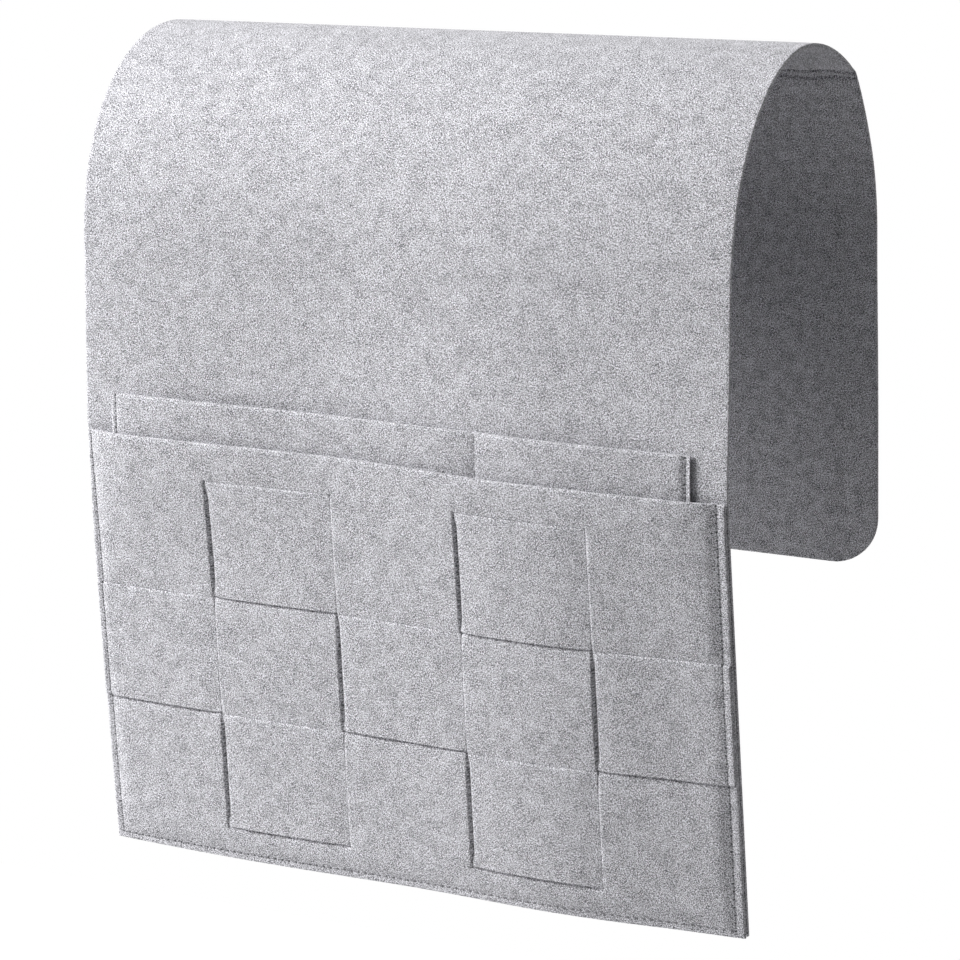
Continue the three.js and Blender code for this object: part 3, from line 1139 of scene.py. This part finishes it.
@dataclass
class MainSheet:
    """The felt sheet that saddles the rail, with the flap behind."""

    sheet: SheetProfile
    slack: Slack
    seams: Seams
    corner_radius: float = 24 * MM
    corner_steps: int = 10
    crease_depth: float = 1.7 * MM
    crease_width: float = 0.8 * MM
    crease_split: float = 1.7 * MM
    crease_wander: float = 0.8 * MM
    wander_waves: tuple[float, float] = (11 * MM, 4.3 * MM)
    wave_start: float = 1.0
    upper_waves: tuple[float, float] = (1.0, 0.5)
    lower_waves: tuple[float, float] = (-0.4, 0.6)
    lower_share: float = 0.8
    crease_step: float = 0.6 * MM
    crease_lines: int = 8
    blend_start: float = 36 * MM
    blend_end: float = 70 * MM
    step: float = 3.2 * MM

    def _outline(self, x: float, along: float) -> tuple[float, float]:
        """Narrow the flap at its rounded lower corners.

        Args:
            x: Place across the plain rectangle.
            along: Place along it.

        Returns:
            The place on the rounded flap.
        """
        into = max(0.0, self.corner_radius - (along + self.sheet.flap_end))
        if into <= 0.0:
            return x, along
        half = self.slack.half_width
        width = half - self.corner_radius + math.sqrt(max(0.0, self.corner_radius ** 2 - into ** 2))
        return x * width / half, along

    def _creased(self, x: Array, off: Array) -> Array:
        """Depth of the two wandering wrinkles in the crease's inner face.

        Args:
            x: Places across the sheet.
            off: Distance of the places from the crease.

        Returns:
            The depth at each place.
        """
        slow_wave, quick_wave = self.wander_waves
        slow, quick = np.sin(x / slow_wave), np.sin(x / quick_wave + self.wave_start)
        wrinkles = []
        for split, (slow_share, quick_share) in ((-self.crease_split, self.upper_waves),
                                                 (self.crease_split, self.lower_waves)):
            wander = self.crease_wander * (slow_share * slow + quick_share * quick)
            wrinkles.append(hump(off + split - wander, self.crease_width))
        return self.crease_depth * np.maximum(wrinkles[0], self.lower_share * wrinkles[1])

    def build(self, finish: FeltFinish) -> bpy.types.Object:
        """Make the sheet in one piece and bend it across the fold.

        Args:
            finish: The felt.

        Returns:
            The piece.
        """
        s, end = self.slack, self.sheet.flap_end
        seams = [sign * seam for seam in (s.pocket_seam_x, s.inner_seam_x) for sign in (-1.0, 1.0)]
        xs = fill([s.divider_x, *rims(-s.half_width, s.half_width), *seams], self.step)
        turns = [math.radians(90 * i / self.corner_steps) for i in range(self.corner_steps + 1)]
        corner = [self.corner_radius * (1.0 - math.cos(turn)) - end for turn in turns]
        crease = beside(-s.crease_along, [self.crease_step * i for i in range(self.crease_lines)])
        alongs = fill([*corner, *rims(-end, self.sheet.hem), *crease, 0.0, s.hem_seam_along], self.step)
        blank = FeltBlank("main_sheet_felt", xs, alongs, s.felt)
        lines = self.seams.all_lines()
        seam_press = self.seams.press(lines, Face.INNER)

        def press(x: Array, along: Array, share: Array) -> Array:
            """Seams on the inner face, and the crease of the fold."""
            return seam_press(x, along, share) + self._creased(x, along + s.crease_along) * (1.0 - share)

        mesh = blank.bend(blank.cut(self._outline), self.sheet, s.sheet_middle, press)
        piece = show("main_sheet_felt", mesh, finish.material("sheet_felt", lines))
        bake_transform(piece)
        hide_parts("main_sheet", "back_flap")
        2 * s.half_width
        return piece


@dataclass
class InnerPocket:
    """Panel behind the front pocket, sewn on three sides and down its middle."""

    sheet: SheetProfile
    slack: Slack
    seams: Seams
    rim_pinch: float = 0.4
    step: float = 3 * MM

    def build(self, finish: FeltFinish) -> bpy.types.Object:
        """Make the panel.

        Args:
            finish: The felt.

        Returns:
            The piece.
        """
        s, edge = self.slack, self.slack.inner_edge_x
        keys = rims(-edge, edge)
        for seam in (s.divider_x, s.inner_seam_x, -s.inner_seam_x):
            keys += beside(seam, SEAM_LINES)
        alongs = fill([*rims(s.inner_mouth, s.inner_hem), s.inner_hem - s.inner_seam], self.step)
        xs = fill(keys, self.step)
        blank = FeltBlank("inner_pocket_felt", xs, alongs, s.felt, rim_pinch=self.rim_pinch)
        press = self.seams.press([*self.seams.inner(), *self.seams.divider()], Face.OUTER)

        def trimmed(x: float, along: float) -> tuple[float, float]:
            """Bring the right edge in."""
            return x - s.inner_trim * max(0.0, (x - s.divider_x) / (edge - s.divider_x)), along

        mesh = blank.bend(blank.cut(trimmed), self.sheet, s.inner_middle, press)
        piece = show("inner_pocket_felt", mesh, finish.material("inner_pocket_felt", self.seams.inner()))
        fasten(piece, "inner_pocket_panel", Slot.FELT)
        return piece


@dataclass
class WovenFront:
    """Front pocket: a panel slit into columns, with strips woven through it."""

    sheet: SheetProfile
    slack: Slack
    weave: Weave
    seams: Seams
    step: float = 2.6 * MM
    corner_pull: float = 2 * MM
    pull_width: float = 30 * MM
    pull_reach: float = 60 * MM
    sag_from_to: tuple[float, float] = (-20 * MM, 60 * MM)
    sag_reach: float = 14 * MM

    def _lines_across(self, reach: float) -> Array:
        """Grid lines across the front.

        Args:
            reach: How far the lines go on both sides.

        Returns:
            The lines, in order.
        """
        s, w = self.slack, self.weave
        keys = rims(-reach, reach)
        for seam in (-s.pocket_seam_x, s.pocket_seam_x):
            keys += beside(seam, SEAM_LINES)
        for slit in w.slits:
            keys += beside(slit, [w.slit_gap / 2 + rim for rim in RIM_LINES])
        return fill([key for key in keys if abs(key) <= reach], self.step)

    def _drawn_in(self, x: float, along: float) -> tuple[float, float]:
        """Pull the mouth's left corner in, and let the right half of the mouth hang lower.

        Args:
            x: Place across the plain rectangle.
            along: Place along it.

        Returns:
            The place after the pull.
        """
        s = self.slack
        below = along - s.mouth
        pulled = smoothstep(-x, s.half_width - self.pull_width, s.half_width) * self.corner_pull
        sagged = smoothstep(x, *self.sag_from_to) * s.mouth_sag
        return (x + pulled * (1.0 - smoothstep(below, 0.0, self.pull_reach)),
                along + sagged * (1.0 - smoothstep(below, 0.0, self.sag_reach)))

    def panel(self, finish: FeltFinish) -> bpy.types.Object:
        """Make the slit panel.

        Args:
            finish: The felt.

        Returns:
            The piece.
        """
        s, w = self.slack, self.weave
        keys = [*beside(s.hem_seam_along, SEAM_LINES[:2]), *rims(s.mouth, self.sheet.hem)]
        for line in w.row_lines:
            keys += beside(line, RIM_LINES)
        xs, alongs = self._lines_across(s.half_width), fill(keys, self.step)
        blank = FeltBlank("front_pocket_felt", xs, alongs, s.felt)
        lines = self.seams.pocket()
        press = self.seams.press(lines, Face.OUTER)
        mesh = blank.bend(blank.cut(self._drawn_in, w.in_slit), self.sheet, w.column_middle, press)
        piece = show("front_pocket_felt", mesh, finish.material("front_pocket_felt", lines))
        fasten(piece, "front_pocket_panel", Slot.FELT)
        2 * s.half_width
        return piece

    def strip(self, row: int, name: str, finish: FeltFinish) -> bpy.types.Object:
        """Make one strip.

        Args:
            row: Which strip, from the top.
            name: Which strip, in words.
            finish: The felt.

        Returns:
            The piece.
        """
        s, w = self.slack, self.weave
        top = w.row_lines[row] + w.slit_gap / 2
        bottom = w.row_lines[row + 1] - w.slit_gap / 2
        sewn_in = row == w.sewn_row
        reach = s.half_width - w.strip_short if sewn_in else s.pocket_seam_x - w.strip_tuck
        alongs = fill(rims(top, bottom), self.step)
        blank = FeltBlank(f"{name}_strip_felt", self._lines_across(reach), alongs, s.felt)
        lines = self.seams.pocket() if sewn_in else []
        press = self.seams.press(lines, Face.OUTER) if sewn_in else None
        mesh = blank.bend(blank.cut(), self.sheet, w.strip_middle(row), press)
        piece = show(f"{name}_strip_felt", mesh, finish.material(f"{name}_strip_felt", lines))
        fasten(piece, f"{name}_woven_strip", Slot.FELT)
        return piece

    def front_height(self, x: Array, along: Array) -> Array:
        """Height of the pocket's outermost face at its seams.

        Args:
            x: Places across the sheet.
            along: Places along it.

        Returns:
            The height at each place.
        """
        w = self.weave
        stacked = (along > w.row_lines[w.sewn_row]) & (along < w.row_lines[w.sewn_row + 1])
        middle = np.where(stacked, w.strip_middle(w.sewn_row)(x, along), w.column_middle(x, along))
        return middle + self.slack.felt / 2


@dataclass
class Stitching:
    """Rows of single stitches, each a short thread that dips into the felt at both ends."""

    sheet: SheetProfile
    slack: Slack
    seams: Seams
    front: WovenFront
    pitch: float = STITCH_PITCH
    length: float = 2.7 * MM
    thread: float = 0.55 * MM
    proud_share: float = 0.1
    sides: int = 6
    rings: int = 6
    dip: float = 0.35 * MM
    share_step: float = 1e-4

    @property
    def proud(self) -> float:
        """How far the middle of the thread lies off the felt."""
        return self.thread * self.proud_share

    def _stitch(self) -> bpy.types.Mesh:
        """One stitch along X, with its ends drawn down.

        Returns:
            The mesh.
        """
        bm = bmesh.new()
        bmesh.ops.create_cone(bm, cap_ends=True, segments=self.sides, radius1=self.thread / 2,
                              radius2=self.thread / 2, depth=self.length)
        bmesh.ops.rotate(bm, verts=bm.verts[:], matrix=Matrix.Rotation(math.pi / 2, 3, "Y"))
        long_edges = [e for e in bm.edges if abs(e.verts[0].co.x - e.verts[1].co.x) > self.length / 2]
        bmesh.ops.subdivide_edges(bm, edges=long_edges, cuts=self.rings - 1, use_grid_fill=True)
        for vert in bm.verts:
            vert.co.z -= self.dip * (2.0 * abs(vert.co.x) / self.length) ** 4
        bmesh.ops.recalc_face_normals(bm, faces=bm.faces[:])
        return to_mesh(bm, "stitch")

    def _seat(self, line: StitchLine, share: float, surface: Height, outward: float) -> Matrix:
        """Place and turn of one stitch.

        Args:
            line: The stitch line.
            share: How far along the line the stitch lies.
            surface: Height of the thread's middle at a place.
            outward: 1 for stitches on an outer face, -1 on an inner face.

        Returns:
            The transform for a stitch along X.
        """
        (x0, a0), (x1, a1) = line.ends()
        places = []
        for at in (share - self.share_step, share, share + self.share_step):
            x = np.array([x0 + (x1 - x0) * at])
            along = np.array([a0 + (a1 - a0) * at])
            places.append((x, along, surface(x, along)))
        before, centre, after = (Vector(self.sheet.place(*place)[0]) for place in places)
        x, along, height = places[1]
        up = outward * (Vector(self.sheet.place(x, along, height + MM)[0]) - centre)
        tangent = (after - before).normalized()
        side = up.cross(tangent).normalized()
        turn = Matrix((tangent, side, tangent.cross(side))).transposed().to_4x4()
        return Matrix.Translation(centre) @ turn

    def sew(self, name: str, lines: Sequence[StitchLine], surface: Height, outward: float, node: str,
            material: bpy.types.Material) -> bpy.types.Object:
        """Sew stitches along lines.

        Args:
            name: Name of the piece.
            lines: Stitch lines.
            surface: Height of the thread's middle at a place.
            outward: 1 for stitches on an outer face, -1 on an inner face.
            node: Thread node that the stitches stand for.
            material: Thread finish.

        Returns:
            The piece.
        """
        bm = bmesh.new()
        stitch = self._stitch()
        for line in lines:
            count = round(abs(line.end - line.start) / self.pitch)
            for i in range(count):
                seat = self._seat(line, (i + 0.5) / count, surface, outward)
                start = len(bm.verts)
                bm.from_mesh(stitch)
                bm.verts.ensure_lookup_table()
                bmesh.ops.transform(bm, matrix=seat, verts=bm.verts[start:])
        bpy.data.meshes.remove(stitch)
        piece = show(name, to_mesh(bm, name), material)
        fasten(piece, node, Slot.THREAD)
        return piece

    def build(self, finish: ThreadFinish) -> None:
        """Sew every seam, with needle thread in front and bobbin thread behind.

        Args:
            finish: The thread.
        """
        seams, slack = self.seams, self.slack
        material = finish.material("sewing_thread")
        sheet_press = seams.press(seams.all_lines(), Face.INNER)
        pocket_press = seams.press(seams.pocket(), Face.OUTER)
        inner_press = seams.press([*seams.inner(), *seams.divider()], Face.OUTER)

        def sheet_back(x: Array, along: Array) -> Array:
            """Thread on the back of the sheet."""
            return slack.bow(x, along) + sheet_press(x, along, 0.0) - self.proud

        def pocket_front(x: Array, along: Array) -> Array:
            """Thread on the pocket's front."""
            return self.front.front_height(x, along) + pocket_press(x, along, 1.0) + self.proud

        def inner_front(x: Array, along: Array) -> Array:
            """Thread on the inner panel's front."""
            return slack.inner_middle(x, along) + slack.felt / 2 + inner_press(x, along, 1.0) + self.proud

        for name, lines, surface in (("pocket_seam", seams.pocket(), pocket_front),
                                     ("inner_seam", seams.inner(), inner_front),
                                     ("divider", seams.divider(), inner_front)):
            self.sew(f"{name}_needle_stitches", lines, surface, 1.0, f"{name}_needle_thread", material)
            self.sew(f"{name}_bobbin_stitches", lines, sheet_back, -1.0, f"{name}_bobbin_thread", material)


@dataclass(frozen=True)
class Lamp:
    """One soft lamp."""

    name: str
    place: tuple[float, float, float]
    aim: tuple[float, float, float]
    size: float
    power: float

    def build(self) -> None:
        """Hang the lamp and aim it."""
        data = bpy.data.lights.new(self.name, "AREA")
        data.shape = "DISK"
        data.size = self.size
        data.energy = self.power
        lamp = bpy.data.objects.new(self.name, data)
        lamp.location = self.place
        lamp.rotation_euler = (Vector(self.aim) - Vector(self.place)).to_track_quat("-Z", "Y").to_euler()
        bpy.context.scene.collection.objects.link(lamp)


@dataclass
class Studio:
    """Camera, lamps, floor and white surroundings."""

    camera_place: tuple[float, float, float] = (1.0711, -1.8528, 0.2235)
    camera_pitch: float = math.radians(90.0 - 11.68)
    camera_heading: float = math.radians(30.0)
    lens: float = 168.9
    sensor: float = 36.0
    floor_drop: float = 0.20
    floor_half: float = 1.0
    floor_centre: tuple[float, float] = (-0.48, -0.58)
    floor_colour: Colour = (0.80, 0.80, 0.80, 1.0)
    floor_glow: tuple[float, float] = (0.6, 1.0)
    glow_reach: tuple[float, float] = (0.45, 0.9)
    ambient: float = 0.05
    white: Colour = (1.0, 1.0, 1.0, 1.0)
    lamps: tuple[Lamp, ...] = (
        Lamp("key_lamp", (-1.40, -0.92, 0.89), (0.0, -0.05, -0.18), 1.25, 68.5),
        Lamp("top_lamp", (0.90, 0.15, 1.00), (0.10, 0.0, 0.0), 0.6, 3.5),
        Lamp("back_lamp", (0.45, 1.60, 0.60), (0.0, 0.05, -0.15), 1.2, 9.0),
    )

    def _camera(self) -> None:
        """Set the camera at the picture's viewpoint."""
        data = bpy.data.cameras.new("camera")
        data.lens = self.lens
        data.sensor_width = self.sensor
        data.sensor_fit = "HORIZONTAL"
        camera = bpy.data.objects.new("camera", data)
        camera.location = self.camera_place
        camera.rotation_euler = Euler((self.camera_pitch, 0.0, self.camera_heading))
        bpy.context.scene.collection.objects.link(camera)
        bpy.context.scene.camera = camera

    @staticmethod
    def _seen(pad: NodePad) -> Socket:
        """Rays that the camera sees, straight or through gloss and glass.

        Args:
            pad: The nodes of the floor or the surroundings.

        Returns:
            1 for such rays and 0 for the others.
        """
        path = pad.add("LightPath")
        seen = pad.math("MAXIMUM", path.outputs["Is Camera Ray"], path.outputs["Is Glossy Ray"])
        return pad.math("MAXIMUM", seen, path.outputs["Is Transmission Ray"])

    def _floor(self) -> None:
        """Lay the pale floor, which keeps the shadow."""
        bm = bmesh.new()
        bmesh.ops.create_grid(bm, x_segments=1, y_segments=1, size=self.floor_half)
        bmesh.ops.translate(bm, verts=bm.verts[:], vec=(*self.floor_centre, CAD_BOX[0][2] - self.floor_drop))
        mesh = to_mesh(bm, "floor")
        pad = NodePad(bpy.data.materials.new("floor_white"))
        diffuse = pad.add("BsdfDiffuse", {"Color": self.floor_colour})
        away = pad.add("VectorMath", {0: pad.add("TexCoord").outputs["Object"]}, operation="LENGTH")
        white = pad.window(away.outputs["Value"], *self.glow_reach, *self.floor_glow)
        glow = pad.add("Emission", {"Strength": pad.math("MULTIPLY", self._seen(pad), white)})
        both = pad.add("AddShader", {0: diffuse.outputs[0], 1: glow.outputs[0]})
        pad.add("OutputMaterial", {0: both.outputs[0]})
        mesh.materials.append(pad.owner)
        floor = bpy.data.objects.new("floor", mesh)
        bpy.context.scene.collection.objects.link(floor)

    def _surroundings(self) -> None:
        """White to the camera, plain soft light to the object."""
        pad = NodePad(bpy.data.worlds.new("studio"))
        level = pad.window(self._seen(pad), 0.0, 1.0, self.ambient, 1.0)
        background = pad.add("Background", {"Color": self.white, "Strength": level})
        pad.add("OutputWorld", {0: background.outputs[0]})
        bpy.context.scene.world = pad.owner

    def build(self) -> None:
        """Set up the whole studio."""
        self._camera()
        self._floor()
        self._surroundings()
        for lamp in self.lamps:
            lamp.build()
        bpy.context.scene.view_settings.view_transform = "Standard"


def main() -> None:
    """Build the caddy and its studio."""
    logging.basicConfig(level=logging.INFO, format="%(name)s %(message)s")
    Studio().build()
    sheet = SheetProfile()
    slack = Slack(sheet)
    seams = Seams(slack)
    felt = FeltFinish()
    MainSheet(sheet, slack, seams).build(felt)
    InnerPocket(sheet, slack, seams).build(felt)
    front = WovenFront(sheet, slack, Weave(slack), seams)
    front.panel(felt)
    for row, name in enumerate(("upper", "middle", "lower")):
        front.strip(row, name, felt)
    Stitching(sheet, slack, seams, front).build(ThreadFinish())


if __name__ == "__main__":
    main()
